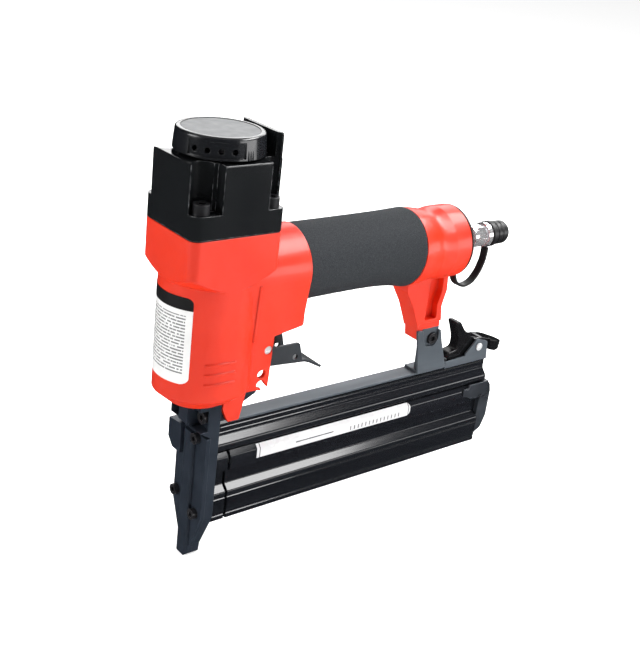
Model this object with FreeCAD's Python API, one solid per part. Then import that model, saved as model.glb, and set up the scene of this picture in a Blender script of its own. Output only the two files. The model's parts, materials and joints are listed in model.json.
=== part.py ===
import FreeCAD, Part
import math
import os

from FreeCAD import Vector

# Pneumatic brad nailer, in millimetres.
# Origin: the nose tip's bottom face, on the driver's axis. +Z runs up the driver's axis to the head,
# +X runs back along the handle and the magazine. The tool is symmetric about Y = 0 but for small fittings.

# ---- driving dimensions -------------------------------------------------------------------------
HEAD_FRONT_X = -26.7
HEAD_REAR_X = 26.2
HEAD_HALF_Y = 23.6
BODY_BOTTOM_Z = 100.0
CAP_BASE_Z = 197.0
CAP_FLANGE_Z = 209.0
CAP_TOP_Z = 233.0
DEFLECTOR_TOP_Z = 245.3
EXHAUST_GAP = 1.5
GASKET_T = 0.6

BARREL_R = 23.6
BARREL_FRONT_CX = HEAD_FRONT_X + BARREL_R
BARREL_REAR_CX = 2.6
BARREL_CHAMFER = (6.8, 8.0)
RIDGE_Z = (117.0, 122.6, 128.2)
RIDGE_H = 1.0
RIDGE_OUT = 0.6

SLEEVE_R = 19.0
SLEEVE_BORE_R = 17.0
SLEEVE_Z = (108.0, 195.6)
PISTON_T = 7.0
PISTON_REST_Z = 188.4
STROKE = 78.0
RUNNING = 0.08

HANDLE_Z = 168.0
HANDLE_TUBE_R = 19.0
HANDLE_BORE_R = 15.4
GRIP_X = (49.7, 133.6)
END_CAP_REAR_X = 170.7
END_CAP_Z = 167.4

NOSE_HALF_Y = 14.4
NOSE_REAR_X = 4.6
NOSE_TOP_Z = 80.0
FLANGE_TOP_Z = 99.7
CHANNEL_HALF_X = 0.7
CHANNEL_HALF_Y = 1.65
NAIL_SLOT_HALF = 0.75
MOUNT_SCREW = (9.4, 91.2)
MOUNT_FLOOR_X = -1.0

RAIL_TOP_Z = 81.3
TOP_PLATE_T = 1.2
RAIL_BOTTOM_Z = 65.6
MAG_TOP_Z = 65.0
MAG_BOTTOM_Z = 22.1
MAG_HALF_Y = 10.4
RAIL_X = (4.7, 219.8)
GUIDE_X = (4.7, 15.0)
MAG_X = (16.6, 217.0)

SIDE_Z = 100.0
SIDE_HALF_Y = 14.0
SIDE_SLOPE = 0.12
LUG_WALL = 2.4
TRIGGER_PIVOT = (29.9, 127.4)
VALVE_X = 45.0
LATCH_PIVOT = (210.3, 91.5)
TOP_SCREW = (184.2, 0.0)
STRUT_SCREW = (166.0, 105.0)
PLUG_Z = 167.4
NIPPLE_R = 4.0
DUST_CAP_BORE_R = NIPPLE_R + 1.1
BODY_LABEL_HALF_ANGLE = 45.0
BODY_LABEL_Z = (117.0, 164.5)

X = Vector(1, 0, 0)
Y = Vector(0, 1, 0)
Z = Vector(0, 0, 1)


# ---- helpers --------------------------------------------------------------------------------------
def box(x, y, z):
    return Part.makeBox(x[1] - x[0], y[1] - y[0], z[1] - z[0], Vector(x[0], y[0], z[0]))


def rod(centre, direction, radius, length):
    return Part.makeCylinder(radius, length, Vector(*centre), direction)


def tube(centre, direction, outer, inner, length):
    return rod(centre, direction, outer, length).cut(rod(centre, direction, inner, length))


def outline(corners, place):
    """A face through (u, v, corner radius) points, set in space by place(u, v)."""
    count = len(corners)
    ends = []
    for i, (u, v, r) in enumerate(corners):
        here = Vector(u, v, 0)
        back = (Vector(*corners[i - 1][:2], 0) - here).normalize()
        on = (Vector(*corners[(i + 1) % count][:2], 0) - here).normalize()
        if r == 0:
            ends.append((here, None, here))
            continue
        half = back.getAngle(on) / 2
        reach = r / math.tan(half)
        middle = (back + on).normalize() * (r / math.sin(half) - r)
        ends.append((here + back * reach, here + middle, here + on * reach))
    edges = []
    for i in range(count):
        start, middle, end = ends[i]
        if middle is not None:
            edges.append(Part.Arc(*[place(p.x, p.y) for p in (start, middle, end)]).toShape())
        following = ends[(i + 1) % count][0]
        if (following - end).Length > 1e-6:
            edges.append(Part.LineSegment(place(end.x, end.y), place(following.x, following.y)).toShape())
    return Part.Face(Part.Wire(edges))


def side_plate(corners, y):
    """Corners are (x, z, radius); the plate spans y."""
    return outline(corners, lambda u, v: Vector(u, y[0], v)).extrude(Vector(0, y[1] - y[0], 0))


def section_bar(corners, x):
    """Corners are (y, z, radius); the bar spans x."""
    return outline(corners, lambda u, v: Vector(x[0], u, v)).extrude(Vector(x[1] - x[0], 0, 0))


def floor_plate(corners, z):
    """Corners are (x, y, radius); the plate spans z."""
    return outline(corners, lambda u, v: Vector(u, v, z[0])).extrude(Vector(0, 0, z[1] - z[0]))


def both_sides(corners):
    """Corners (y, z, radius) of the +Y half, from top to bottom, closed by their mirror image."""
    return corners + [(-y, z, r) for y, z, r in reversed(corners)]


def turned(profile, centre, axis):
    """A solid of revolution: profile is (radius, along the axis) points, with the axis X or Z."""
    if axis == X:
        points = [Vector(centre[0] + a, centre[1], centre[2] + r) for r, a in profile]
    else:
        points = [Vector(centre[0] + r, centre[1], centre[2] + a) for r, a in profile]
    face = Part.Face(Part.makePolygon(points + points[:1]))
    return face.revolve(Vector(*centre), axis, 360)


def ring(centre, axis, ring_r, wire_r):
    return Part.makeTorus(ring_r, wire_r, Vector(*centre), axis)


def coil_spring(centre, axis, radius, wire_r, length, turns):
    """A compression spring whose wire runs on a helix and ends inside its own length."""
    helix = Part.makeHelix(length / turns, length, radius)
    start = Part.Wire(Part.makeCircle(wire_r, Vector(radius, 0, 0), Y))
    coil = Part.Wire(helix).makePipeShell([start], True, True)
    turn = FreeCAD.Rotation(Z, axis)
    coil.Placement = FreeCAD.Placement(Vector(*centre), turn)
    return coil


def cap_screw(centre, direction, shank_r, head_r, head_h, length):
    """Socket screw: centre is under its head, and the shank runs along direction."""
    away = direction * -1
    head = rod(centre, away, head_r, head_h)
    base = Vector(*centre)
    socket = Part.Face(Part.makePolygon(hexagon(base + away * head_h, away, head_r * 0.55)))
    head = head.cut(socket.extrude(direction * (head_h * 0.6)))
    return head.fuse(rod(centre, direction, shank_r, length))


def hexagon(centre, normal, radius):
    """Corner points of a closed hexagon around centre."""
    across = Y if abs(normal.dot(Y)) < 0.5 else Z
    other = normal.cross(across)
    turn = [math.radians(60 * i) for i in range(7)]
    return [centre + across * (radius * math.cos(a)) + other * (radius * math.sin(a)) for a in turn]


def fused(first, *others):
    return first.multiFuse(list(others)).removeSplitter()


def group(shapes):
    return Part.makeCompound(shapes)


# ---- housing ----------------------------------------------------------------------------------------
def barrel(radius, z):
    """The cylinder housing's rounded section, longer front to back than it is wide."""
    front = BARREL_FRONT_CX
    rear = BARREL_REAR_CX
    top = [Vector(front, radius, z[0]), Vector(rear, radius, z[0])]
    bottom = [Vector(rear, -radius, z[0]), Vector(front, -radius, z[0])]
    edges = [
        Part.LineSegment(*top).toShape(),
        Part.Arc(top[1], Vector(rear + radius, 0, z[0]), bottom[0]).toShape(),
        Part.LineSegment(*bottom).toShape(),
        Part.Arc(bottom[1], Vector(front - radius, 0, z[0]), top[0]).toShape(),
    ]
    return Part.Face(Part.Wire(edges)).extrude(Vector(0, 0, z[1] - z[0]))


def head_outline(inset, front_r=5.0, rear_r=3.0):
    half = HEAD_HALF_Y - inset
    front = HEAD_FRONT_X + inset
    rear = HEAD_REAR_X - inset
    return [(front, -half, front_r), (rear, -half, rear_r), (rear, half, rear_r), (front, half, front_r)]


def head_screw_places():
    return [(-20.0, -18.0), (-20.0, 18.0), (20.6, -18.4), (20.6, 18.4)]


def side_half(z, inset=0.0):
    """Half width of the trigger housing at height z: its sides lean in towards the nose."""
    return SIDE_HALF_Y + (z - SIDE_Z) * SIDE_SLOPE - inset


def leaning_block(inset, x, z):
    return section_bar(both_sides([(side_half(z[1], inset), z[1], 0), (side_half(z[0], inset), z[0], 0)]), x)


def make_housing():
    block = floor_plate(head_outline(0), (160.0, CAP_BASE_Z - GASKET_T))
    undercut = turned([(0, 160), (13.8, 160), (36, 178.1), (36, 198), (0, 198)], (0, 0, 0), Z)
    block = block.common(undercut)
    column = barrel(BARREL_R, (BODY_BOTTOM_Z, 176.0))
    rim = [e for e in column.Edges if e.BoundBox.ZMax < BODY_BOTTOM_Z + 0.01]
    column = column.makeChamfer(*BARREL_CHAMFER, rim)
    neck = rod((10, 0, 168.8), X, 22.2, GRIP_X[0] - 10)
    handle = rod((40, 0, HANDLE_Z), X, HANDLE_TUBE_R, GRIP_X[1] - 40 - 0.3)
    side = [
        (6, 168.5, 0), (GRIP_X[0], 168.5, 0), (GRIP_X[0], 147, 0), (50.6, 139.2, 1.5), (32.0, 135.8, 0),
        (33.8, 101.6, 2.0), (25.0, 103.2, 0), (19.6, 103.2, 0), (18.0, 86.4, 1.2), (10.8, 86.4, 1.0),
        (6.0, 95.5, 0), (6.0, 104.0, 0),
    ]
    trigger_house = leaning_block(0, (0, 60), (80, 168.5)).common(side_plate(side, (-30, 30)))
    ridge_span = box((-13, 4.4), (-40, 40), (RIDGE_Z[0], RIDGE_Z[-1] + RIDGE_H))
    ridges = [barrel(BARREL_R + RIDGE_OUT, (z, z + RIDGE_H)).common(ridge_span) for z in RIDGE_Z]
    seam = side_plate([(16.4, 168, 0), (17.6, 168, 0), (19.2, 134.6, 0), (18.0, 134.6, 0)], (-30, 30))
    seam = seam.common(leaning_block(-0.5, (0, 60), (80, 168)))
    solid = fused(block, column, neck, handle, trigger_house, seam, *ridges)
    slot_top = 134.0
    slot = leaning_block(LUG_WALL, (5.0, 60), (80, slot_top)).cut(column)
    cut = [
        slot,
        rod((0, 0, 122), Z, 21.0, 80),
        rod((0, 0, 106), Z, SLEEVE_R + 0.05, 20),
        rod((0, 0, 99), Z, 13.5, 10),
        rod((30, 0, HANDLE_Z), X, HANDLE_BORE_R, 110),
        rod((VALVE_X, 0, 130), Z, 4.55, 22.0),
        rod((14, 0, 155.0), X, 6.0, 20),
        side_plate([(26.8, 108.4, 0), (29.2, 108.8, 0), (36.0, 101.0, 0), (30.8, 100.0, 0)], (-30, 30)),
    ]
    cut += [rod((x, y, 180), Z, 2.5, 30) for x, y in head_screw_places()]
    cut += [rod((x, -30, z), Y, 2.6, 60) for x, z in ((27.9, 113.0), (28.4, 106.4))]
    cut += [rod((TRIGGER_PIVOT[0], -30, TRIGGER_PIVOT[1]), Y, 2.42, 60)]
    cut += [rod((TRIGGER_PIVOT[0], y, TRIGGER_PIVOT[1]), Y, 2.9, 14) for y in (-31.0, 16.4)]
    for tool in cut:
        solid = solid.cut(tool)
    return solid.removeSplitter()


# ---- head: cap, valve, deflector ----------------------------------------------------------------------
def make_head_gasket():
    plate = floor_plate(head_outline(0.3, 4.7, 2.7), (CAP_BASE_Z - GASKET_T, CAP_BASE_Z))
    plate = plate.cut(rod((0, 0, 190), Z, 21.0, 10))
    for x, y in head_screw_places():
        plate = plate.cut(rod((x, y, 190), Z, 2.7, 10))
    return plate


def make_head_cap():
    flange = floor_plate(head_outline(0), (CAP_BASE_Z, CAP_FLANGE_Z))
    upper = floor_plate(head_outline(0), (CAP_FLANGE_Z, CAP_TOP_Z))
    upper = upper.makeFillet(0.8, [e for e in upper.Edges if e.BoundBox.ZMin > CAP_TOP_Z - 0.01])
    for side in (-1, 1):
        outer = sorted((side * 17.2, side * 30))
        upper = upper.cut(box((-30, -11.3), outer, (CAP_FLANGE_Z, 240)))
        upper = upper.cut(box((16.0, 30), outer, (CAP_FLANGE_Z, 240)))
        upper = upper.cut(rod((-20.0, side * 18.0, CAP_FLANGE_Z), Z, 6.3, 40))
    fin = box((23.4, 25.8), (-17.2, 17.2), (CAP_FLANGE_Z, DEFLECTOR_TOP_Z))
    corners = [e for e in fin.Edges if e.BoundBox.XLength > 2 and e.BoundBox.ZMin > 240]
    fin = fin.makeFillet(1.2, corners)
    solid = fused(flange, upper, fin)
    solid = solid.cut(rod((0, 0, 190), Z, 20.0, 28.0))
    solid = solid.cut(rod((0, 0, 215), Z, 7.0 + RUNNING, 30))
    solid = solid.cut(rod((0, 0, 226), Z, 15.0, 10))
    spider = box((-15.5, 15.5), (-2.2, 2.2), (229.6, CAP_TOP_Z)).fuse(rod((0, 0, 229.6), Z, 5.0, 3.4))
    solid = fused(solid, spider).cut(rod((0, 0, 229), Z, 2.0, 10))
    for x, y in head_screw_places():
        solid = solid.cut(rod((x, y, 190), Z, 2.7, 20))
        if x > 0:
            solid = solid.cut(rod((x, y, CAP_FLANGE_Z), Z, 4.6, 40))
    return solid.removeSplitter()


def make_head_cap_screws():
    return group([cap_screw((x, y, CAP_FLANGE_Z), Z * -1, 2.4, 4.3, 5.2, 27) for x, y in head_screw_places()])


def make_head_valve():
    profile = [
        (4.2, 195.8), (19.0, 195.8), (19.8, 198.0), (19.8, 203.5), (17.5, 203.5), (17.5, 201),
        (7.0, 201.0), (7.0, 225.0), (4.2, 225.0),
    ]
    solid = turned(profile, (0, 0, 0), Z)
    return solid.cut(ring((0, 0, 200.6), Z, 19.3, 0.85))


def make_head_valve_ring():
    return ring((0, 0, 200.6), Z, 19.15, 0.7)


def make_head_valve_spring():
    return coil_spring((0, 0, 202.0), Z, 12.0, 0.8, 15.0, 4)


def make_deflector():
    base_z = CAP_TOP_Z + EXHAUST_GAP
    shell = turned(
        [(0, base_z), (23.2, base_z), (22.3, DEFLECTOR_TOP_Z), (0, DEFLECTOR_TOP_Z)], (0, 0, 0), Z
    )
    rim = [e for e in shell.Edges if e.BoundBox.ZMin > 240 and e.BoundBox.XLength > 30]
    shell = shell.makeFillet(1.5, rim)
    shell = shell.cut(rod((0, 0, 230), Z, 19.6, 10.6))
    shell = shell.cut(rod((0, 0, 243.9), Z, 19.6, 5))
    panel = turned([(22.35, 235.3), (25, 235.3), (25, 243.0), (22.35, 243.0)], (0, 0, 0), Z)
    wedge = floor_plate([(0, 0, 0), (-28, -8, 0), (-28, -28, 0), (0, -28, 0)], (230, 246))
    shell = shell.cut(panel.common(wedge))
    for degrees in (-156.0, -138.8, -121.5, -104.2):
        out = Vector(math.cos(math.radians(degrees)), math.sin(math.radians(degrees)), 0)
        shell = shell.cut(rod((0, 0, 238.6), out, 1.5, 30))
    for degrees in (-86.5, -83.0, -79.5):
        out = Vector(math.cos(math.radians(degrees)), math.sin(math.radians(degrees)), 0)
        groove = rod(tuple(out * 23.3), Z, 0.5, 12).translated(Vector(0, 0, 232))
        shell = shell.cut(groove)
    shell = shell.cut(rod((0, 0, 230), Z, 2.6, 20))
    return shell.cut(rod((0, 0, 242.0), Z, 4.4, 5))


def make_deflector_pad():
    return rod((0, 0, 244.1), Z, 19.5, 0.9)


def make_deflector_screw():
    head = rod((0, 0, 242.1), Z, 4.2, 1.7)
    shank = rod((0, 0, 233.0), Z, 2.4, 9.1).fuse(rod((0, 0, 229.8), Z, 1.95, 3.2))
    return fused(head, shank)


# ---- piston and cylinder ---------------------------------------------------------------------------------
def make_sleeve():
    bottom, top = SLEEVE_Z
    body = tube((0, 0, bottom), Z, SLEEVE_R, SLEEVE_BORE_R, top - bottom)
    for z in (112.5, 116.5):
        body = body.cut(ring((0, 0, z), Z, SLEEVE_R - 0.7, 0.95))
    for i in range(8):
        angle = math.radians(45 * i)
        body = body.cut(rod((0, 0, 128), Vector(math.cos(angle), math.sin(angle), 0), 1.2, 30))
    return body


def make_sleeve_rings():
    return group([ring((0, 0, z), Z, SLEEVE_R - 0.7, 0.7) for z in (112.5, 116.5)])


def make_bumper():
    profile = [
        (4.0, 99.9), (13.3, 99.9), (13.3, 106.3), (16.6, 106.3), (16.6, 108.4), (14.5, 110.0), (4.0, 110.0),
    ]
    return turned(profile, (0, 0, 0), Z)


def make_piston():
    z = PISTON_REST_Z
    r = SLEEVE_BORE_R - RUNNING
    top = z + PISTON_T
    body = turned([(0, z), (r - 2, z), (r, z + 1.2), (r, top - 0.8), (r - 0.8, top), (0, top)], (0, 0, 0), Z)
    body = body.cut(ring((0, 0, z + 3.6), Z, r - 1.05, 1.15))
    return body.cut(box((-0.6, 0.6), (-1.5, 1.5), (z - 1, z + 4)))


def make_piston_ring():
    return ring((0, 0, PISTON_REST_Z + 3.6), Z, SLEEVE_BORE_R - RUNNING - 1.05, 1.0)


def make_driver_blade():
    return box((-0.6, 0.6), (-1.5, 1.5), (STROKE + 0.5, PISTON_REST_Z + 4))


# ---- nose -------------------------------------------------------------------------------------------------
def nose_face(top_z, inset=0.0):
    half = NOSE_HALF_Y - inset
    return both_sides([(half, top_z, 0), (half, 29.0, 0), (5.0, 6.5, 0), (5.0, 1.6, 0), (3.4, 0.0, 0)])


def make_nose_block():
    """Rear half of the nose with the driver's channel, its screw flange and the tang between the lugs."""
    main = section_bar(nose_face(NOSE_TOP_Z), (-CHANNEL_HALF_X, NOSE_REAR_X))
    heel = [(-5, -1, 0), (3.3, -1, 0), (3.9, 6, 0), (NOSE_REAR_X, 25, 0), (NOSE_REAR_X, 81, 0), (-5, 81, 0)]
    main = main.common(side_plate(heel, (-20, 20)))
    flange = [
        (NOSE_REAR_X, NOSE_TOP_Z, 0), (NOSE_REAR_X, FLANGE_TOP_Z, 0), (-8.4, FLANGE_TOP_Z, 0), (-8.4, 85, 0),
        (-CHANNEL_HALF_X, NOSE_TOP_Z, 0),
    ]
    flange = side_plate(flange, (-NOSE_HALF_Y, NOSE_HALF_Y))
    middle = box((-10, 12), (-9.4, 9.4), (86.0, FLANGE_TOP_Z))
    tang = [
        (4, 94.6, 0), (22.4, 94.6, 0), (30.4, 98.6, 1), (30.4, 101, 0), (25.5, 101, 0), (12, 98.6, 0), (4, 98.6, 0),
    ]
    tang = side_plate(tang, (-9.0, 9.0))
    solid = fused(main, flange, middle, tang)
    solid = solid.cut(box((-12, -2.8), (-16, -13), (84.5, 97.2)))
    for side in (-1, 1):
        pocket = sorted((side * 4.2, side * 13.4))
        solid = solid.cut(box((-12, MOUNT_FLOOR_X), pocket, (84.5, 97.2)))
        solid = solid.cut(rod((-5, side * MOUNT_SCREW[0], MOUNT_SCREW[1]), X, 2.02, 12))
    channel_y = (-CHANNEL_HALF_Y, CHANNEL_HALF_Y)
    solid = solid.cut(box((-CHANNEL_HALF_X - 0.1, CHANNEL_HALF_X), channel_y, (-1, 120)))
    solid = solid.cut(box((0, 20), (-NAIL_SLOT_HALF, NAIL_SLOT_HALF), (26.4, 78)))
    for x, y, z in nose_screw_places():
        solid = solid.cut(rod((-2, y, z), X, 1.52, 6.0))
    return solid.removeSplitter()


def nose_screw_places():
    return [(-3.2, -5.9, 77.0), (-3.2, 11.0, 36.0), (-3.2, -8.3, 30.4)]


def make_nose_front_plate():
    """Front half of the nose, with its middle rib and one wing on the +Y side."""
    base = section_bar(nose_face(72.0), (-3.2, -CHANNEL_HALF_X))
    rib = section_bar(both_sides([(5.0, 79, 0), (5.0, 6.5, 0), (5.0, 1.6, 0), (3.4, 0.0, 0)]), (-5.6, -3.0))
    long_edges = [e for e in rib.Edges if e.BoundBox.XMax < -5.5 and e.BoundBox.ZLength > 60]
    rib = rib.makeFillet(2.0, long_edges)
    wing = [(7.5, 79.6, 0), (20.0, 78, 0), (20.0, 66.4, 0), (15.4, 61.5, 0), (7.5, 61.5, 0)]
    wing = section_bar(wing, (-5.6, -CHANNEL_HALF_X))
    shelf = box((-3.2, -0.7), (-NOSE_HALF_Y, 8), (70, 79.6))
    solid = fused(base, rib, wing, shelf)
    for x, y, z in nose_screw_places():
        solid = solid.cut(rod((-8, y, z), X, 1.7, 12))
        pocket = sorted((y - math.copysign(3.6, y), math.copysign(16, y)))
        solid = solid.cut(box((-8, -3.2), pocket, (z - 3.8, z + 4.0)))
    return solid.removeSplitter()


def make_nose_screws():
    return group([cap_screw(place, X, 1.5, 3.1, 3.0, 7.0) for place in nose_screw_places()])


def make_mount_screws():
    y, z = MOUNT_SCREW
    return group([cap_screw((MOUNT_FLOOR_X, side * y, z), X, 2.0, 3.6, 3.6, 8.0) for side in (-1, 1)])


# ---- magazine ---------------------------------------------------------------------------------------------
def rail_outline():
    return both_sides([
        (5.2, RAIL_TOP_Z, 0), (5.2, 79.6, 0), (4.8, 79.2, 0), (5.2, 78.8, 0), (5.2, 76.4, 0), (4.8, 76.0, 0),
        (5.2, 75.6, 0), (5.2, 74.0, 0.6), (8.9, 69.9, 2.6), (8.9, 66.4, 0.7), (7.6, RAIL_BOTTOM_Z, 0),
    ])


def magazine_outline():
    half = MAG_HALF_Y
    return both_sides([
        (8.2, MAG_TOP_Z, 0), (half, 62.4, 1.5), (half, 54.0, 1.6), (6.4, 51.4, 1.0), (6.4, 43.2, 1.0),
        (half, 39.8, 1.6), (half, 36.8, 0), (half - 0.5, 36.3, 0), (half, 35.8, 0), (half, 26.0, 0),
        (half - 0.5, 25.5, 0), (half, 25.0, 0), (half, MAG_BOTTOM_Z, 0.8),
    ])


def make_magazine_rail():
    """Fixed rail with the inner wall of the brad track hanging from it."""
    solid = section_bar(rail_outline(), RAIL_X)
    core = box((MAG_X[0] + 0.4, 214.0), (NAIL_SLOT_HALF, 4.2), (27.0, RAIL_BOTTOM_Z + 1))
    solid = fused(solid, core)
    solid = solid.cut(box((0, 230), (-NAIL_SLOT_HALF, NAIL_SLOT_HALF), (60, 78)))
    solid = solid.cut(box((186, 230), (-1.6, 1.6), (60, 90)))
    solid = solid.cut(rod((*TOP_SCREW, 76), Z, 1.55, 8))
    front_room = box((GUIDE_X[0] - 1, MAG_X[0]), (-15, 15), (RAIL_BOTTOM_Z - 3, RAIL_BOTTOM_Z + 0.1))
    return solid.cut(front_room).removeSplitter()


def make_magazine_front_guide():
    solid = section_bar(magazine_outline(), GUIDE_X)
    return solid.cut(box((0, 20), (-NAIL_SLOT_HALF, NAIL_SLOT_HALF), (26.4, 70)))


def make_top_plate():
    """Steel strip along the rail, with the latch's two ears and a low flange on the near side."""
    half = 5.4
    z = (RAIL_TOP_Z, RAIL_TOP_Z + TOP_PLATE_T)
    plate = box((17.8, 219.8), (-half, half), z)
    px, pz = LATCH_PIVOT
    ear = [(199.0, z[0], 0), (199.0, 88.0, 1.5), (px - 2.0, 97.2, 3.0), (218.0, 94.0, 2.0), (219.8, z[0], 0)]
    ears = [side_plate(ear, y) for y in ((-6.6, -5.4), (5.4, 6.6))]
    feet = [box((199.0, 219.8), y, z) for y in ((-6.6, -5.0), (5.0, 6.6))]
    flange = side_plate([(181.4, z[0], 0), (181.4, 85.6, 0), (199.5, 86.4, 0), (199.5, z[0], 0)], (-6.6, -5.4))
    solid = fused(plate, *ears, *feet, flange)
    solid = solid.cut(rod((px, -10, pz), Y, 1.85, 20))
    solid = solid.cut(box((188.4, 198.5), (-1.7, 1.7), (80, 84)))
    return solid.cut(rod((*TOP_SCREW, 80), Z, 1.7, 4)).removeSplitter()


def make_top_plate_screw():
    return cap_screw((*TOP_SCREW, RAIL_TOP_Z + TOP_PLATE_T), Z * -1, 1.5, 2.8, 2.2, 6.0)


def make_magazine_channel():
    solid = section_bar(magazine_outline(), MAG_X)
    solid = solid.cut(box((0, 230), (-NAIL_SLOT_HALF, 4.6), (26.4, 70)))
    solid = solid.cut(rod((0, -6.0, 58.6), X, 3.1, 214.0))
    solid = solid.cut(box((0, 214.0), (-6.0, 0), (57.7, 59.5)))
    solid = solid.cut(rod((210, -6.0, 58.6), X, 0.95, 12))
    for y, z in rivet_places():
        solid = solid.cut(rod((213, y, z), X, 1.22, 6))
    return solid.removeSplitter()


def make_magazine_end_cap():
    """Steel cap over the sliding magazine's rear end, with a hooked cheek on each side and the latch's catch."""
    rear = 226.8
    corners = [
        (217.2, 66.6, 0), (221.5, 66.6, 2), (225.4, 62.5, 3), (rear, 57.0, 3), (rear, 39.0, 3),
        (223.4, 30.0, 3), (217.2, 27.0, 0),
    ]
    block = side_plate(corners, (-9.4, 9.4))
    block = block.cut(box((210, rear - 2.8), (-7.6, 7.6), (20, 70)))
    block = block.fuse(box((217.2, 218.8), (-9.4, 9.4), (27.5, 66.6)))
    cheek = [
        (203.0, 66.6, 0.8), (217.2, 66.6, 0), (217.2, 56.0, 2), (206.6, 56.0, 2), (203.8, 57.7, 1),
        (198.8, 59.2, 0.8), (198.8, 64.0, 0.8), (203.0, 64.6, 0),
    ]
    cheeks = [side_plate(cheek, y) for y in ((-11.3, -10.45), (10.45, 11.3))]
    bridges = [box((217.2, 221.0), y, (57.0, 66.6)) for y in ((-11.3, -9.0), (9.0, 11.3))]
    solid = fused(block, *cheeks, *bridges)
    solid = solid.cut(rod((240, 0, 44.0), X * -1, 6.0, 30))
    hook = [
        (189.0, 80.6, 0), (200.0, 80.6, 0), (221.0, 68.0, 0), (221.0, 65.6, 0), (217.0, 65.6, 0),
        (213.0, 68.0, 0), (189.0, 76.0, 0),
    ]
    solid = solid.cut(box((210, 220.3), (-9.0, 9.0), (65.2, 70)))
    catch = side_plate(hook, (-1.2, 1.2)).fuse(box((217.3, 221.0), (-1.2, 1.2), (64.0, 68.0)))
    solid = fused(solid, catch)
    for y, z in rivet_places():
        solid = solid.cut(rod((210, y, z), X, 1.22, 12))
    return solid.cut(rod((210, -6.0, 58.6), X, 0.95, 12)).removeSplitter()


def rivet_places():
    return [(-7.0, 33.0), (7.0, 33.0)]


def make_end_cap_rivets():
    """Two flush rivets that hold the end cap to the magazine's rear end."""
    return group([rod((213.4, y, z), X, 1.2, 5.4) for y, z in rivet_places()])


def make_pusher_rod():
    start = MAG_X[0] + 0.6
    return rod((start, -6.0, 58.6), X, 0.9, 218.8 - start)


def make_pusher():
    front = MAG_X[0] + 0.4
    rear = front + 13.0
    blade = side_plate([(front, 64.0, 1), (rear, 64.0, 1), (rear, 28.0, 2), (front, 28.0, 0)], (-0.6, 0.6))
    arm = box((front + 1.5, rear - 1.0), (-4.6, -0.5), (57.9, 59.3)).cut(rod((front, -6.0, 58.6), X, 2.0, 30))
    return fused(blade, arm, tube((front + 1.0, -6.0, 58.6), X, 2.9, 1.0, 11.4))


def make_pusher_spring():
    return coil_spring((30.0, -6.0, 58.6), X, 2.1, 0.35, 182.6, 46)


def make_magazine_label():
    """Printed film over the magazine's upper bead, on the near side."""
    x = (34.5, 152.0)
    low, high = 56.8, 65.0
    film = section_bar([
        (-MAG_HALF_Y - 0.2, low, 0), (-MAG_HALF_Y - 0.2, 62.47, 1.7), (-8.573, 64.87, 0), (-8.42, 64.74, 0),
        (-MAG_HALF_Y, 62.4, 1.5), (-MAG_HALF_Y, low, 0),
    ], x)
    border = [(x[0], low, 0), (x[1], low, 3.0), (x[1], high, 3.0), (x[0], high, 0)]
    return film.common(side_plate(border, (-11, -8)))


# ---- rear bracket and latch ------------------------------------------------------------------------------
def make_bracket():
    """Bent steel bracket: one ear up the near side of the strut's foot, on a base along the top plate."""
    ear = [
        (151.8, 112.4, 0.8), (156.4, 112.0, 0.8), (157.4, 106.0, 3.0), (160.6, 100.6, 3.0), (167.4, 99.8, 3.0),
        (170.6, 104.6, 2.0), (170.2, 110.6, 0.3), (171.7, 110.4, 0.3), (174.6, 101.0, 5.0), (181.0, 84.0, 0),
        (157.2, 84.0, 0),
    ]
    base_z = RAIL_TOP_Z + TOP_PLATE_T
    base = box((157.2, 181.0), (-6.8, 5.4), (base_z, base_z + 1.5))
    return fused(base, side_plate(ear, (-6.8, -5.3)))


def make_strut_foot():
    """Steel block under the strut, standing on the bracket's base against its ear."""
    x, z = STRUT_SCREW
    base_z = RAIL_TOP_Z + TOP_PLATE_T + 1.5
    head = side_plate([(157.4, 112.3, 0), (171.2, 112.3, 0), (170.8, 104.5, 2), (157.4, 104.5, 2)], (-5.2, 5.2))
    stem = side_plate([(158.6, 108, 0), (170.0, 108, 0), (172.6, base_z, 0), (159.4, base_z, 0)], (-5.2, -0.6))
    solid = fused(head, stem)
    return solid.cut(rod((x, -10, z), Y, 2.1, 20)).cut(rod((x, -6.0, z), Y, 4.0, 2.0))


def make_strut_screw():
    x, z = STRUT_SCREW
    return cap_screw((x, -4.0, z), Y, 2.0, 3.6, 2.6, 8.0)


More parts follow.
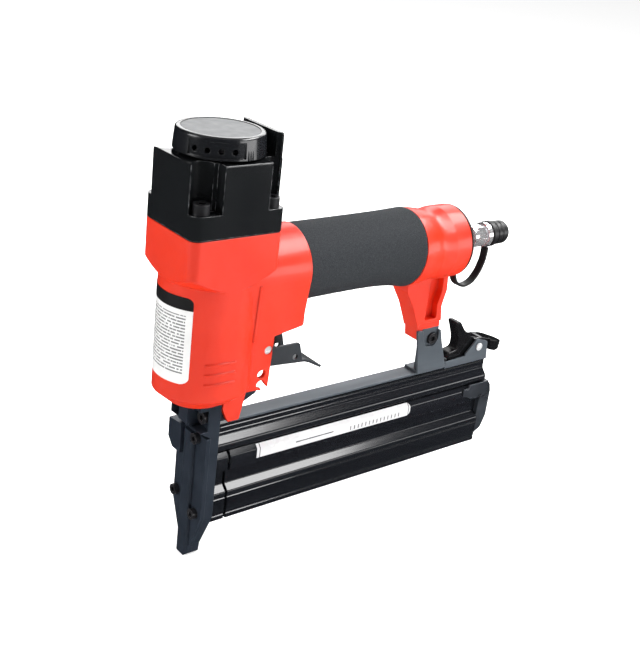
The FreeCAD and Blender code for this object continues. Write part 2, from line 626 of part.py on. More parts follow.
def make_latch_lever():
    px, pz = LATCH_PIVOT
    core = [
        (187.6, 111.6, 1.0), (192.6, 110.6, 2.0), (197.2, 104.4, 6.0), (203.8, 99.0, 6.0), (213.0, 96.8, 4.0),
        (216.0, 91.0, 0), (px + 3.4, 86.0, 2.0), (px - 4.0, 85.4, 2.0), (185.6, 85.4, 1.2), (185.6, 90.0, 1.2),
        (193.6, 91.6, 3.0), (193.2, 98.6, 5.0), (190.2, 106.0, 6.0),
    ]
    body = side_plate(core, (-4.0, 4.0))
    pad = [
        (206.6, 96.8, 0), (214.0, 97.0, 4.0), (226.0, 93.2, 8.0), (238.4, 89.0, 0.9), (237.0, 86.6, 1.2),
        (226.0, 85.6, 3.0), (217.0, 88.6, 0),
    ]
    plan = [
        (200, -4.0, 0), (213.0, -7.0, 4), (229.0, -7.0, 9), (239.6, 0, 4.6), (229.0, 7.0, 9), (213.0, 7.0, 4),
        (200, 4.0, 0),
    ]
    pad = side_plate(pad, (-7.0, 7.0)).common(floor_plate(plan, (80, 120)))
    for side in (-1, 1):
        ear_room = sorted((side * 5.1, side * 8.0))
        pad = pad.cut(box((200, 220.6), ear_room, (80, 98.4)))
    hollow = [(222.0, 86.0, 0), (222.0, 90.6, 3), (233.0, 87.6, 3), (239.0, 84.0, 0), (222.0, 84.0, 0)]
    pad = pad.cut(side_plate(hollow, (-5.4, 5.4)))
    hub = rod((px, -5.0, pz), Y, 5.0, 10.0)
    tooth = side_plate([(190.6, 81.7, 0), (195.6, 81.7, 0), (197.5, 88.0, 0), (190.6, 88.0, 0)], (-1.2, 1.2))
    return fused(body, pad, hub, tooth).cut(rod((px, -10, pz), Y, 1.85, 20)).removeSplitter()


def make_latch_pin():
    px, pz = LATCH_PIVOT
    pin = rod((px, -6.8, pz), Y, 1.8, 13.6)
    heads = [rod((px, y, pz), Y, 2.6, 0.7) for y in (-7.4, 6.7)]
    return fused(pin, *heads)


# ---- trigger and valve -----------------------------------------------------------------------------------
def make_trigger():
    px, pz = TRIGGER_PIVOT
    ear = [
        (px - 4.0, pz + 3.6, 2.0), (px + 4.4, pz + 3.6, 2.0), (41.0, 123.8, 2.0), (57.6, 123.6, 2.2),
        (60.4, 112.6, 0), (36.0, 114.4, 0), (px - 4.0, 120.5, 2.0),
    ]
    ears = [side_plate(ear, y) for y in ((-9.3, -7.9), (7.9, 9.3))]
    floor = [
        (36.0, 114.6, 0), (62.6, 112.4, 3), (66.0, 111.2, 5), (75.0, 106.3, 0.4), (74.2, 105.1, 0.4),
        (65.4, 109.8, 5), (62.2, 111.0, 3), (36.0, 113.2, 0),
    ]
    tongue = side_plate(floor, (-9.3, 9.3))
    hole = rod((55.2, -12, 115.4), Y, 1.7, 24)
    pivot = rod((px, -12, pz), Y, 2.48, 24)
    return fused(tongue, *ears).cut(hole).cut(pivot)


def make_trigger_pin():
    px, pz = TRIGGER_PIVOT
    half = side_half(pz) - 0.9
    return rod((px, -half, pz), Y, 2.4, 2 * half)


def make_valve_body():
    solid = tube((VALVE_X, 0, 123.6), Z, 4.5, 1.6, 28.2)
    return solid.cut(rod((VALVE_X, 0, 128.0), Z, 3.2, 30))


def make_valve_plug():
    return rod((VALVE_X, 0, 149.6), Z, 3.15, 2.0)


def make_valve_stem():
    shaft = rod((VALVE_X, 0, 114.2), Z, 1.52, 20.0)
    head = rod((VALVE_X, 0, 132.0), Z, 2.9, 3.0)
    return fused(shaft, head)


def make_valve_seal():
    return ring((VALVE_X, 0, 130.4), Z, 2.3, 0.7)


def make_valve_spring():
    return coil_spring((VALVE_X, 0, 137.2), Z, 2.2, 0.3, 12.0, 8)


# ---- handle, end cap and air plug ---------------------------------------------------------------------------
def make_grip():
    """Rubber sleeve, its top line level, flaring downwards to a rear end that leans forward at the bottom."""
    stations = [
        (GRIP_X[0], 21.5, 169.0), (62.0, 21.3, 169.1), (90.0, 21.2, 169.2), (112.0, 21.6, 168.9),
        (135.0, 24.0, 167.0),
    ]
    rings = [Part.Wire(Part.makeCircle(r, Vector(x, 0, z), X)) for x, r, z in stations]
    solid = Part.makeLoft(rings, True, False)
    solid = solid.cut(behind_grip(0))
    return solid.cut(rod((40, 0, HANDLE_Z), X, HANDLE_TUBE_R + 0.02, 110))


def behind_grip(gap):
    """Everything behind the slanting plane where the grip ends."""
    return side_plate([(129.6 + gap, 140, 0), (134.4 + gap, 194, 0), (220, 194, 0), (220, 140, 0)], (-30, 30))


def strut_outline():
    return [
        (136.5, 150, 0), (137.6, 140.0, 5), (144.6, 129.0, 12), (151.4, 114.0, 12), (152.8, 105.8, 0.8),
        (155.8, 105.8, 0.8), (157.0, 112.4, 0), (171.2, 112.4, 0.8), (168.8, 127.0, 6), (171.2, 137.0, 4),
        (170.2, 150, 0),
    ]


def make_end_cap():
    waist = [(23.0, 128.0), (22.9, 138.0), (21.9, 144.5), (21.1, 149.0), (21.4, 153.5), (22.1, 158.0)]
    rim = [(22.1, END_CAP_REAR_X - 1.0), (21.1, END_CAP_REAR_X), (0, END_CAP_REAR_X), (0, 128.0), waist[0]]
    curve = Part.BSplineCurve()
    curve.interpolate([Vector(x, 0, END_CAP_Z + r) for r, x in waist])
    edges = [curve.toShape()]
    for (r0, x0), (r1, x1) in zip([waist[-1]] + rim, rim):
        edges.append(Part.LineSegment(Vector(x0, 0, END_CAP_Z + r0), Vector(x1, 0, END_CAP_Z + r1)).toShape())
    shell = Part.Face(Part.Wire(edges)).revolve(Vector(0, 0, END_CAP_Z), X, 360).common(behind_grip(0.3))
    shell = shell.cut(rod((120, 0, HANDLE_Z), X, HANDLE_TUBE_R + 0.05, GRIP_X[1] + 0.2 - 120))
    strut = side_plate(strut_outline(), (-6.6, 6.6))
    narrow = [(130, 150, 0), (130, 100, 0), (151.6, 100, 0), (151.6, 117, 2), (175, 117, 0), (175, 150, 0)]
    narrow = side_plate(narrow, (-8, 8))
    lower = strut.common(box((151.6, 175), (-5.2, 5.2), (100, 117)))
    strut = fused(strut.common(narrow), lower)
    pocket = [
        (155.9, 146, 1.5), (166.8, 146, 1.5), (167.2, 137, 2), (164.8, 128.4, 3), (165.8, 119.0, 1.5),
        (155.8, 119.0, 1.5),
    ]
    for side in (-1, 1):
        strut = strut.cut(side_plate(pocket, sorted((side * 2.0, side * 9.0))))
    solid = fused(shell, strut)
    solid = solid.cut(rod((120, 0, END_CAP_Z), X, HANDLE_BORE_R, 40))
    solid = fused(solid, tube((126, 0, HANDLE_Z), X, HANDLE_BORE_R - 0.1, 12.5, 8.2))
    return solid.cut(rod((150, 0, PLUG_Z), X, 6.45, 30)).removeSplitter()


def make_end_cap_gasket():
    return tube((GRIP_X[1] - 0.3, 0, HANDLE_Z), X, 18.6, HANDLE_BORE_R + 0.05, 0.5)


def make_end_cap_ring():
    return tube((END_CAP_REAR_X, 0, END_CAP_Z), X, 21.8, 18.6, 0.9)


def make_air_plug():
    """Threaded swivel with a large hexagon, a neck, a small hexagon and the quick-connect nipple."""
    start = Vector(171.8, 0, PLUG_Z)
    large = Part.Face(Part.makePolygon(hexagon(start, X, 8.6))).extrude(Vector(8.2, 0, 0))
    small = Part.Face(Part.makePolygon(hexagon(Vector(192.5, 0, PLUG_Z), X, 7.2))).extrude(Vector(6.0, 0, 0))
    profile = [
        (0, 160.8), (6.4, 160.8), (6.4, 172.0), (5.0, 180.0), (5.0, 189.0), (6.6, 189.4), (6.6, 192.5),
        (5.2, 192.6), (5.2, 200.0), (7.6, 200.4), (7.6, 203.8), (NIPPLE_R, 204.2), (NIPPLE_R, 215.4), (3.4, 216.0),
        (0, 216.0),
    ]
    solid = fused(turned(profile, (0, 0, PLUG_Z), X), large, small)
    return solid.cut(rod((150, 0, PLUG_Z), X, 2.4, 80))


def make_dust_cap():
    """Soft cap over the nipple, with a collar that takes the strap."""
    profile = [
        (DUST_CAP_BORE_R, 204.5), (8.1, 204.5), (8.1, 208.0), (7.0, 208.3), (7.0, 209.5), (7.4, 209.9),
        (7.4, 212.6), (7.1, 212.9), (7.1, 213.5), (7.4, 213.8), (7.3, 217.4), (6.4, 219.0), (4.4, 219.6),
        (0, 219.6), (0, 217.5), (DUST_CAP_BORE_R, 217.5),
    ]
    return turned(profile, (0, 0, PLUG_Z), X)


def make_dust_cap_strap():
    """Flat tether from the plug's collar ring round below the end cap to the dust cap."""
    collar = tube((180.6, 0, PLUG_Z), X, 7.2, 5.1, 2.6)
    route = [
        (181.9, 160.8), (180.4, 152.0), (180.6, 143.5), (184.6, 136.9), (191.6, 134.6), (198.6, 137.0),
        (203.4, 143.4), (206.2, 151.2), (206.3, 158.9),
    ]
    path = rounded_path(route)
    start = Vector(route[0][0], 0, route[0][1])
    along = (Vector(route[1][0], 0, route[1][1]) - start).normalize()
    across = along.cross(Y)
    corners = [start + across * a + Y * b for a, b in ((-0.8, -2.5), (0.8, -2.5), (0.8, 2.5), (-0.8, 2.5))]
    profile = Part.makePolygon(corners + corners[:1])
    strap = path.makePipeShell([profile], True, False)
    return fused(collar, strap)


def rounded_path(route):
    """Straight runs in the XZ plane joined by tangent arcs, each as large as its two runs allow."""
    points = [Vector(x, 0, z) for x, z in route]
    edges = []
    at = points[0]
    for before, here, after in zip(points, points[1:], points[2:]):
        back = before - here
        on = after - here
        reach = 0.45 * min(back.Length, on.Length)
        back.normalize()
        on.normalize()
        half = back.getAngle(on) / 2
        radius = reach * math.tan(half)
        middle = here + (back + on).normalize() * (radius / math.sin(half) - radius)
        edges.append(Part.LineSegment(at, here + back * reach).toShape())
        edges.append(Part.Arc(here + back * reach, middle, here + on * reach).toShape())
        at = here + on * reach
    edges.append(Part.LineSegment(at, points[-1]).toShape())
    return Part.Wire(edges)


def make_body_label():
    """Thin label wrapped round the front of the cylinder housing."""
    low, high = BODY_LABEL_Z
    band = tube((BARREL_FRONT_CX, 0, low), Z, BARREL_R + 0.2, BARREL_R, high - low)
    reach = (BARREL_R + 0.5) * math.sin(math.radians(BODY_LABEL_HALF_ANGLE))
    border = [(-reach, low, 4.0), (reach, low, 4.0), (reach, high, 3.0), (-reach, high, 3.0)]
    return band.common(section_bar(border, (-40, BARREL_FRONT_CX)))


# ---- nodes ------------------------------------------------------------------------------------------------
NODES = {
    "housing": make_housing,
    "head_gasket": make_head_gasket,
    "head_cap": make_head_cap,
    "head_cap_screws": make_head_cap_screws,
    "head_valve": make_head_valve,
    "head_valve_ring": make_head_valve_ring,
    "head_valve_spring": make_head_valve_spring,
    "deflector": make_deflector,
    "deflector_pad": make_deflector_pad,
    "deflector_screw": make_deflector_screw,
    "cylinder_sleeve": make_sleeve,
    "sleeve_o_rings": make_sleeve_rings,
    "bumper": make_bumper,
    "piston": make_piston,
    "piston_ring": make_piston_ring,
    "driver_blade": make_driver_blade,
    "nose_block": make_nose_block,
    "nose_front_plate": make_nose_front_plate,
    "nose_screws": make_nose_screws,
    "mount_screws": make_mount_screws,
    "magazine_rail": make_magazine_rail,
    "magazine_front_guide": make_magazine_front_guide,
    "magazine_top_plate": make_top_plate,
    "top_plate_screw": make_top_plate_screw,
    "sliding_magazine": make_magazine_channel,
    "magazine_end_cap": make_magazine_end_cap,
    "end_cap_rivets": make_end_cap_rivets,
    "magazine_label": make_magazine_label,
    "pusher_rod": make_pusher_rod,
    "pusher": make_pusher,
    "pusher_spring": make_pusher_spring,
    "rear_bracket": make_bracket,
    "strut_foot": make_strut_foot,
    "strut_screw": make_strut_screw,
    "latch_lever": make_latch_lever,
    "latch_pin": make_latch_pin,
    "trigger": make_trigger,
    "trigger_pin": make_trigger_pin,
    "valve_body": make_valve_body,
    "valve_plug": make_valve_plug,
    "valve_stem": make_valve_stem,
    "valve_seal": make_valve_seal,
    "valve_spring": make_valve_spring,
    "grip_sleeve": make_grip,
    "end_cap": make_end_cap,
    "end_cap_gasket": make_end_cap_gasket,
    "end_cap_ring": make_end_cap_ring,
    "air_plug": make_air_plug,
    "dust_cap": make_dust_cap,
    "dust_cap_strap": make_dust_cap_strap,
    "body_label": make_body_label,
}

os.makedirs("parts", exist_ok=True)
for name, make in NODES.items():
    shape = make()
    print(name, len(shape.Solids), round(shape.Volume, 1), "valid" if shape.isValid() else "NOT VALID")
    shape.exportStep("parts/" + name + ".step")
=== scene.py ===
import json
import math

import bmesh
import bpy
from mathutils import Matrix, Vector


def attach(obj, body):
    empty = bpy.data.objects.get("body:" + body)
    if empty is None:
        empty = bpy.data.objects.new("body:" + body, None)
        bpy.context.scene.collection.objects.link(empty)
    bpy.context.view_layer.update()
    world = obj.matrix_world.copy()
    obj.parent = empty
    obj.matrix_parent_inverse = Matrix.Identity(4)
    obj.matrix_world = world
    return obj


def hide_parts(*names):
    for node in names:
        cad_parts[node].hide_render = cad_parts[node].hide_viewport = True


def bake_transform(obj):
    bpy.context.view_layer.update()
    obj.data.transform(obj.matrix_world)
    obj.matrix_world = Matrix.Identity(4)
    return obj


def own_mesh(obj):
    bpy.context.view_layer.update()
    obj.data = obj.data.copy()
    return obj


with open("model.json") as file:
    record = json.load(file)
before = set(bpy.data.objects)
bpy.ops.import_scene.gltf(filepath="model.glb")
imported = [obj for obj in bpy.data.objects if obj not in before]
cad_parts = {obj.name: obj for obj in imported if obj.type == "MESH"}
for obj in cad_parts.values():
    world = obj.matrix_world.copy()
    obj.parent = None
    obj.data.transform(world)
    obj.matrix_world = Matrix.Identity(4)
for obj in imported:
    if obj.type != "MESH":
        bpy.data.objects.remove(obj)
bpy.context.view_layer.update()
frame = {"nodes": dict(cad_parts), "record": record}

MM = 0.001
NODES = frame["nodes"]


# ---- camera, light and floor ------------------------------------------------------------------------
CAMERA_PLACE = Vector((-296.2, -434.1, 368.4)) * MM
CAMERA_YAW = math.radians(40.85)
CAMERA_PITCH = math.radians(-23.31)
CAMERA_ROLL = math.radians(7.10)
CAMERA_LENS = 58.83

MIDDLE = (0.09, 0, 0.13)
FLOOR_HALF = 6.0
FLOOR_DROP = 0.0005
FLOOR_WHITE = 0.93
FLOOR_GLOW = 0.72
ROOM_GLOW = 0.16


def make_camera():
    forward = Vector((
        math.sin(CAMERA_YAW) * math.cos(CAMERA_PITCH),
        math.cos(CAMERA_YAW) * math.cos(CAMERA_PITCH),
        math.sin(CAMERA_PITCH),
    ))
    level = Vector((math.cos(CAMERA_YAW), -math.sin(CAMERA_YAW), 0))
    upright = level.cross(forward)
    right = level * math.cos(CAMERA_ROLL) + upright * math.sin(CAMERA_ROLL)
    up = upright * math.cos(CAMERA_ROLL) - level * math.sin(CAMERA_ROLL)
    data = bpy.data.cameras.new("camera")
    data.lens = CAMERA_LENS
    data.clip_start = 0.01
    data.clip_end = 20.0
    camera = bpy.data.objects.new("camera", data)
    turn = Matrix((right, up, -forward)).transposed().to_4x4()
    camera.matrix_world = Matrix.Translation(CAMERA_PLACE) @ turn
    bpy.context.scene.collection.objects.link(camera)
    bpy.context.scene.camera = camera


def make_light(name, place, size, power):
    """A rectangular softbox at place, aimed at the middle of the tool."""
    data = bpy.data.lights.new(name, "AREA")
    data.shape = "RECTANGLE"
    data.size, data.size_y = size
    data.energy = power
    light = bpy.data.objects.new(name, data)
    light.location = place
    light.rotation_euler = (Vector(MIDDLE) - Vector(place)).to_track_quat("-Z", "Y").to_euler()
    bpy.context.scene.collection.objects.link(light)


def make_stage():
    """A glowing white floor in a dim white room; neither shows in reflections."""
    mesh = bpy.data.meshes.new("floor")
    bm = bmesh.new()
    bmesh.ops.create_grid(bm, x_segments=2, y_segments=2, size=FLOOR_HALF)
    bm.to_mesh(mesh)
    bm.free()
    floor = bpy.data.objects.new("floor", mesh)
    floor.location = (0, 0, -FLOOR_DROP)
    floor.visible_glossy = False
    bpy.context.scene.collection.objects.link(floor)
    surface = bpy.data.materials.new("floor_paper")
    surface.use_nodes = True
    shader = surface.node_tree.nodes["Principled BSDF"]
    shader.inputs["Base Color"].default_value = (FLOOR_WHITE, FLOOR_WHITE, FLOOR_WHITE, 1)
    shader.inputs["Roughness"].default_value = 0.9
    shader.inputs["Emission Color"].default_value = (1, 1, 1, 1)
    shader.inputs["Emission Strength"].default_value = FLOOR_GLOW
    floor.data.materials.append(surface)
    world = bpy.data.worlds.new("studio")
    world.use_nodes = True
    world.cycles_visibility.glossy = False
    background = world.node_tree.nodes["Background"]
    background.inputs["Color"].default_value = (1, 1, 1, 1)
    background.inputs["Strength"].default_value = ROOM_GLOW
    bpy.context.scene.world = world
    bpy.context.scene.view_settings.view_transform = "Standard"


make_camera()
make_stage()
make_light("overhead", (0.3, 0.2, 3.0), (5.0, 5.0), 40.0)
make_light("right_softbox", (0.82, -0.28, 1.06), (1.25, 0.36), 20.0)
make_light("back_card", (1.05, 1.25, 0.85), (1.6, 0.7), 11.0)
make_light("left_softbox", (-1.1, 0.30, 0.55), (0.5, 0.7), 7.5)
make_light("front_card", (0.85, -0.95, 0.22), (1.2, 0.4), 7.0)


# ---- materials ---------------------------------------------------------------------------------------
class Surface:
    """A Principled material and the few node chains that the surfaces here share."""

    def __init__(self, name, colour, roughness, **sockets):
        self.material = bpy.data.materials.new(name)
        self.material.use_nodes = True
        self.tree = self.material.node_tree
        self.shader = self.tree.nodes["Principled BSDF"]
        self.shader.inputs["Base Color"].default_value = (*colour, 1)
        self.shader.inputs["Roughness"].default_value = roughness
        for socket, value in sockets.items():
            self.shader.inputs[socket.replace("_", " ")].default_value = value
        self.coords = self.tree.nodes.new("ShaderNodeTexCoord").outputs["Object"]
        self.normal = None

    def node(self, kind, inputs=(), **settings):
        made = self.tree.nodes.new("ShaderNode" + kind)
        for name, value in settings.items():
            setattr(made, name, value)
        for socket, value in dict(inputs).items():
            if isinstance(value, bpy.types.NodeSocket):
                self.tree.links.new(value, made.inputs[socket])
            else:
                made.inputs[socket].default_value = value
        return made

    def noise(self, scale, detail=3.0, stretch=(1, 1, 1)):
        place = self.node("Mapping", {"Vector": self.coords, "Scale": stretch}).outputs[0]
        return self.node("TexNoise", {"Vector": place, "Scale": scale, "Detail": detail}).outputs["Fac"]

    def spread(self, value, low, high, start=0.3, end=0.7):
        inputs = {"Value": value, "From Min": start, "From Max": end, "To Min": low, "To Max": high}
        return self.node("MapRange", inputs).outputs["Result"]

    def math(self, operation, first, second=0.0):
        return self.node("Math", {0: first, 1: second}, operation=operation).outputs[0]

    def inside(self, value, low, high):
        """1 where low < value < high."""
        middle = (low + high) / 2
        away = self.math("ABSOLUTE", self.math("SUBTRACT", value, middle))
        return self.math("LESS_THAN", away, (high - low) / 2)

    def together(self, *masks):
        product = masks[0]
        for mask in masks[1:]:
            product = self.math("MULTIPLY", product, mask)
        return product

    def across(self):
        """The three object coordinates as separate values."""
        return self.node("SeparateXYZ", {0: self.coords}).outputs[:3]

    def mix(self, factor, first, second):
        made = self.node("Mix", data_type="RGBA")
        for socket, value in (("Factor", factor), ("A", first), ("B", second)):
            target = [s for s in made.inputs if s.name == socket and s.enabled][0]
            if isinstance(value, bpy.types.NodeSocket):
                self.tree.links.new(value, target)
            else:
                target.default_value = value if socket == "Factor" else (*value, 1)
        return [s for s in made.outputs if s.enabled][0]

    def feed(self, socket, value):
        self.tree.links.new(value, self.shader.inputs[socket])

    def soft_edges(self, radius):
        self.normal = self.node("Bevel", {"Radius": radius}, samples=6).outputs["Normal"]
        self.feed("Normal", self.normal)

    def bump(self, height, distance, strength=1.0):
        inputs = {"Height": height, "Distance": distance, "Strength": strength}
        if self.normal is not None:
            inputs["Normal"] = self.normal
        self.normal = self.node("Bump", inputs).outputs["Normal"]
        self.feed("Normal", self.normal)

    def edge_mask(self, radius, low=0.02, high=0.25):
        """1 on the object's convex and concave edges, 0 on its flats."""
        soft = self.node("Bevel", {"Radius": radius}, samples=6).outputs["Normal"]
        hard = self.node("NewGeometry").outputs["Normal"]
        same = self.node("VectorMath", {0: soft, 1: hard}, operation="DOT_PRODUCT").outputs["Value"]
        return self.spread(same, 1.0, 0.0, 1.0 - high, 1.0 - low)


def make_body_red():
    gloss = {"Specular_IOR_Level": 0.38, "Coat_Weight": 0.15, "Coat_Roughness": 0.1}
    s = Surface("body_red", (0.72, 0.026, 0.004), 0.38, **gloss)
    s.soft_edges(0.9 * MM)
    s.bump(s.noise(900, 2.0), 0.02 * MM, 0.3)
    tone = s.spread(s.noise(28, 4.0), 0.0, 1.0)
    s.feed("Base Color", s.mix(tone, (0.75, 0.029, 0.004), (0.67, 0.021, 0.003)))
    s.feed("Roughness", s.spread(s.noise(60, 3.0), 0.32, 0.44))
    return s.material


def make_painted_black(name, colour, rough, edge_wear_and_highlight_colour, coat=0.0):
    """Black paint, lighter in patches along its edges: scuffed paint on most parts, and on the head cap a
    painted highlight for the white lines its edges catch.
    """
    s = Surface(name, colour, sum(rough) / 2, Coat_Weight=coat, Coat_Roughness=0.06)
    s.soft_edges(0.45 * MM)
    s.bump(s.noise(1100, 2.0), 0.015 * MM, 0.3)
    # Lighter edge patches: scuffed paint on most parts, and on the head cap a painted highlight along its
    # edges.
    edge_patches = s.edge_mask(0.5 * MM)
    patchiness = s.spread(s.noise(240, 3.0), 0.0, 0.7, 0.42, 0.62)
    s.feed("Base Color", s.mix(s.math("MULTIPLY", edge_patches, patchiness), colour, edge_wear_and_highlight_colour))
    s.feed("Roughness", s.spread(s.noise(45, 4.0, (1, 1, 0.25)), *rough))
    return s.material


def make_steel(name, colour, darker, rough, stretch=(1, 1, 1), metallic=0.8, level=0.5, worn=0.5):
    """Fine-grained steel, a little brighter along its worn edges."""
    s = Surface(name, colour, sum(rough) / 2, Metallic=metallic, Specular_IOR_Level=level)
    s.soft_edges(0.4 * MM)
    s.bump(s.noise(700, 3.0, stretch), 0.012 * MM, 0.5)
    patchiness = s.spread(s.noise(160, 3.0), 0.1, worn, 0.35, 0.65)
    edge_patches = s.math("MULTIPLY", s.edge_mask(0.5 * MM), patchiness)
    plain = s.mix(s.spread(s.noise(50, 5.0, stretch), 0, 1), colour, darker)
    s.feed("Base Color", s.mix(edge_patches, plain, [min(1.0, 2.6 * c + 0.04) for c in colour]))
    s.feed("Roughness", s.spread(s.noise(120, 4.0, stretch), *rough))
    return s.material


def make_anodised():
    s = Surface("magazine_black", (0.006, 0.006, 0.008), 0.13, Specular_IOR_Level=0.5)
    s.soft_edges(0.3 * MM)
    along = (0.02, 1, 1)
    s.bump(s.noise(500, 2.0, along), 0.002 * MM, 0.3)
    tone = s.spread(s.noise(80, 3.0, along), 0, 1)
    s.feed("Base Color", s.mix(tone, (0.006, 0.007, 0.009), (0.012, 0.013, 0.016)))
    s.feed("Roughness", s.spread(s.noise(300, 3.0, along), 0.09, 0.17))
    return s.material


def make_grip_rubber():
    s = Surface("grip_rubber", (0.03, 0.033, 0.037), 0.75, Specular_IOR_Level=0.3)
    grain = s.noise(1900, 4.0)
    s.bump(grain, 0.06 * MM, 0.7)
    speckle = s.spread(s.noise(2300, 3.0), 0, 1, 0.42, 0.66)
    s.feed("Base Color", s.mix(speckle, (0.019, 0.022, 0.026), (0.037, 0.041, 0.046)))
    s.feed("Roughness", s.spread(grain, 0.66, 0.9))
    return s.material


def make_rubber(name, colour, rough):
    s = Surface(name, colour, rough, Specular_IOR_Level=0.4)
    s.soft_edges(0.3 * MM)
    s.bump(s.noise(1300, 3.0), 0.02 * MM, 0.5)
    s.feed("Roughness", s.spread(s.noise(200, 3.0), rough - 0.08, rough + 0.1))
    return s.material


def make_chrome():
    s = Surface("plug_chrome", (0.90, 0.90, 0.91), 0.14, Metallic=0.8)
    s.soft_edges(0.3 * MM)
    turning = (0.0, 1, 1)
    s.bump(s.noise(2500, 2.0), 0.004 * MM, 0.4)
    tone = s.spread(s.noise(350, 3.0), 0, 1)
    s.feed("Base Color", s.mix(tone, (0.93, 0.93, 0.94), (0.80, 0.80, 0.82)))
    s.feed("Roughness", s.spread(s.noise(400, 3.0, turning), 0.10, 0.22))
    return s.material


def make_plain(name, colour, rough, metallic=0.0):
    s = Surface(name, colour, rough, Metallic=metallic)
    s.soft_edges(0.25 * MM)
    s.feed("Roughness", s.spread(s.noise(300, 3.0), rough - 0.06, rough + 0.08))
    return s.material


DASH_DENSITY = 900.0
ROW_SHIFT = 7.3
PRINT_SEED = 3.0
INK_SHARE = 0.41


def printed_rows(s, along, up, pitch):
    """Rows of short broken dashes, as a block of small generic print."""
    rows = s.math("DIVIDE", up, pitch)
    shift = s.math("MULTIPLY", s.math("FLOOR", rows), ROW_SHIFT)
    place = s.node("CombineXYZ", {0: s.math("MULTIPLY", along, DASH_DENSITY), 1: shift, 2: PRINT_SEED})
    words = s.node("TexNoise", {"Vector": place.outputs[0], "Scale": 1.0, "Detail": 1.0}).outputs["Fac"]
    line = s.inside(s.math("FRACT", rows), 0.25, 0.72)
    return s.together(line, s.math("GREATER_THAN", words, INK_SHARE))


def make_body_label():
    """White film with a dark band along its top and rows of small dashes below it."""
    print_half_width, print_low, print_high = 14.5 * MM, 122 * MM, 155 * MM
    band_low, band_high = 157.8 * MM, 166.0 * MM
    s = Surface("body_label", (0.80, 0.80, 0.79), 0.35)
    _, y, z = s.across()
    page = s.together(s.inside(y, -print_half_width, print_half_width), s.inside(z, print_low, print_high))
    text = s.together(printed_rows(s, y, z, 1.75 * MM), page)
    paper = s.mix(s.spread(s.noise(120, 4.0), 0, 1), (0.82, 0.82, 0.81), (0.74, 0.74, 0.73))
    printed = s.mix(s.math("MULTIPLY", text, 0.8), paper, (0.05, 0.05, 0.055))
    s.feed("Base Color", s.mix(s.inside(z, band_low, band_high), printed, (0.012, 0.012, 0.013)))
    s.feed("Roughness", s.spread(s.noise(200, 3.0), 0.28, 0.44))
    return s.material


def make_magazine_label():
    """White film with a line at each end, a short rule and a row of plain ticks."""
    pitch = 3.0 * MM
    s = Surface("magazine_label", (0.84, 0.84, 0.83), 0.3)
    x, _, z = s.across()
    rule = s.together(s.inside(x, 62 * MM, 90 * MM), s.inside(z, 59.6 * MM, 60.4 * MM))
    tick = s.inside(s.math("FRACT", s.math("DIVIDE", x, pitch)), 0.36, 0.6)
    tick_row = s.together(s.inside(x, 102.5 * MM, 144 * MM), s.inside(z, 57.8 * MM, 60.5 * MM))
    beyond = s.math("SUBTRACT", 1.0, s.inside(x, 36.8 * MM, 150.2 * MM))
    end_lines = s.together(s.inside(x, 36.2 * MM, 150.8 * MM), beyond)
    marks = s.math("MAXIMUM", s.together(tick, tick_row), rule)
    dark = s.math("MAXIMUM", marks, end_lines)
    paper = s.mix(s.spread(s.noise(90, 4.0, (0.3, 1, 1)), 0, 1), (0.72, 0.72, 0.72), (0.60, 0.60, 0.61))
    s.feed("Base Color", s.mix(s.math("MULTIPLY", dark, 0.92), paper, (0.05, 0.05, 0.055)))
    s.feed("Roughness", s.spread(s.noise(160, 3.0), 0.2, 0.36))
    return s.material


MATERIALS = {
    "body_red": make_body_red(),
    # head_black's light grey edge colour is a painted highlight along the head cap's edges.
    "head_black": make_painted_black("head_black", (0.009, 0.010, 0.011), (0.10, 0.22), (0.55, 0.56, 0.58)),
    "deflector_black": make_painted_black(
        "deflector_black", (0.010, 0.011, 0.013), (0.14, 0.28), (0.07, 0.07, 0.07), 0.2
    ),
    "pad_grey": make_rubber("pad_grey", (0.22, 0.225, 0.23), 0.5),
    "screw_black": make_painted_black(
        "screw_black", (0.015, 0.015, 0.017), (0.25, 0.4), (0.2, 0.2, 0.21), 0.1
    ),
    "nose_steel": make_steel(
        "nose_steel", (0.040, 0.052, 0.072), (0.026, 0.035, 0.050), (0.28, 0.44), metallic=0.45
    ),
    "plate_steel": make_steel(
        "plate_steel", (0.110, 0.128, 0.147), (0.075, 0.088, 0.103), (0.34, 0.5), (0.15, 1, 1),
        metallic=0.3, level=0.3,
    ),
    "magazine_black": make_anodised(),
    "latch_black": make_painted_black(
        "latch_black", (0.008, 0.008, 0.009), (0.12, 0.24), (0.12, 0.12, 0.13)
    ),
    "trigger_grey": make_steel(
        "trigger_grey", (0.055, 0.062, 0.07), (0.038, 0.043, 0.05), (0.35, 0.5), metallic=0.4
    ),
    "grip_rubber": make_grip_rubber(),
    "plug_chrome": make_chrome(),
    "cap_rubber": make_rubber("cap_rubber", (0.012, 0.012, 0.013), 0.38),
    "label_white": make_plain("label_white", (0.86, 0.86, 0.85), 0.4),
    "seal_rubber": make_rubber("seal_rubber", (0.015, 0.015, 0.015), 0.55),
    "bare_aluminium": make_plain("bare_aluminium", (0.75, 0.76, 0.78), 0.25, 1.0),
    # hard_steel: partly the steel's own light grey, partly a painted highlight: a diffuse near-white that
    # makes the pin ends look shining.
    "hard_steel": make_plain("hard_steel", (0.80, 0.81, 0.82), 0.25, 0.35),
    "valve_plastic": make_plain("valve_plastic", (0.02, 0.02, 0.021), 0.45),
    "valve_brass": make_plain("valve_brass", (0.72, 0.52, 0.22), 0.25, 1.0),
}


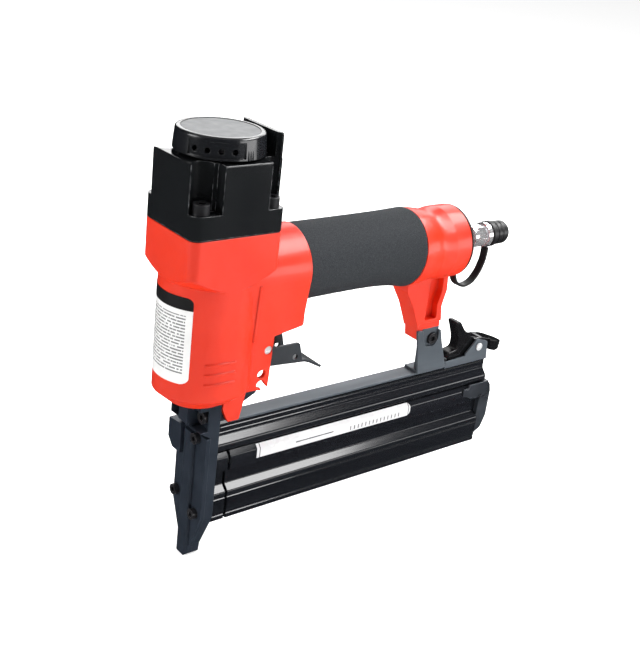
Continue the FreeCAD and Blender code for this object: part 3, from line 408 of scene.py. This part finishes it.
# Pieces with a look of their own, in place of their slot's.
OWN_LOOK = {
    "body_label": make_body_label(),
    "magazine_label": make_magazine_label(),
    "magazine_end_cap": make_steel(
        "end_cap_steel", (0.050, 0.056, 0.066), (0.024, 0.027, 0.032), (0.16, 0.3), metallic=0.3, worn=0.8
    ),
}
SLOTS = {part["node"]: part["material_slot"] for part in frame["record"]["subparts"]}


def surface_of(node):
    return OWN_LOOK.get(node, MATERIALS[SLOTS[node]])


def dress_cad_nodes():
    """Every CAD node takes its own look, or else its slot's surface."""
    for node in SLOTS:
        mesh = NODES[node].data
        mesh.materials.clear()
        mesh.materials.append(surface_of(node))


# ---- refined pieces ----------------------------------------------------------------------------------
def softened(node, voxel, passes):
    """The node's form with its corners eased, as moulding or wearing leaves them."""
    piece = bpy.data.objects.new(node + "_eased", NODES[node].data.copy())
    bpy.context.scene.collection.objects.link(piece)
    piece.modifiers.new("weld", "WELD").merge_threshold = 0.01 * MM
    remesh = piece.modifiers.new("remesh", "REMESH")
    remesh.mode = "VOXEL"
    remesh.voxel_size = voxel
    remesh.use_smooth_shade = True
    ease = piece.modifiers.new("ease", "SMOOTH")
    ease.factor = 0.5
    ease.iterations = passes
    graph = bpy.context.evaluated_depsgraph_get()
    eased = bpy.data.meshes.new_from_object(piece.evaluated_get(graph))
    piece.modifiers.clear()
    piece.data = eased
    eased.materials.clear()
    eased.materials.append(surface_of(node))
    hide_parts(node)
    return piece


def springy(node, body):
    """A copy of the node's coil spring, carried by the given body in place of the node."""
    coil = bpy.data.objects.new(node + "_coil", NODES[node].data.copy())
    bpy.context.scene.collection.objects.link(coil)
    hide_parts(node)
    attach(coil, body)
    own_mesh(coil)


def make_refined_pieces():
    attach(softened("latch_lever", 0.32 * MM, 7), "latch")
    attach(softened("dust_cap", 0.25 * MM, 2), "dust_cap")
    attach(softened("grip_sleeve", 0.7 * MM, 2), "tool")
    strap = softened("dust_cap_strap", 0.25 * MM, 3)
    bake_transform(strap)
    springy("head_valve_spring", "tool")
    springy("valve_spring", "tool")
    springy("pusher_spring", "magazine")


dress_cad_nodes()
make_refined_pieces()
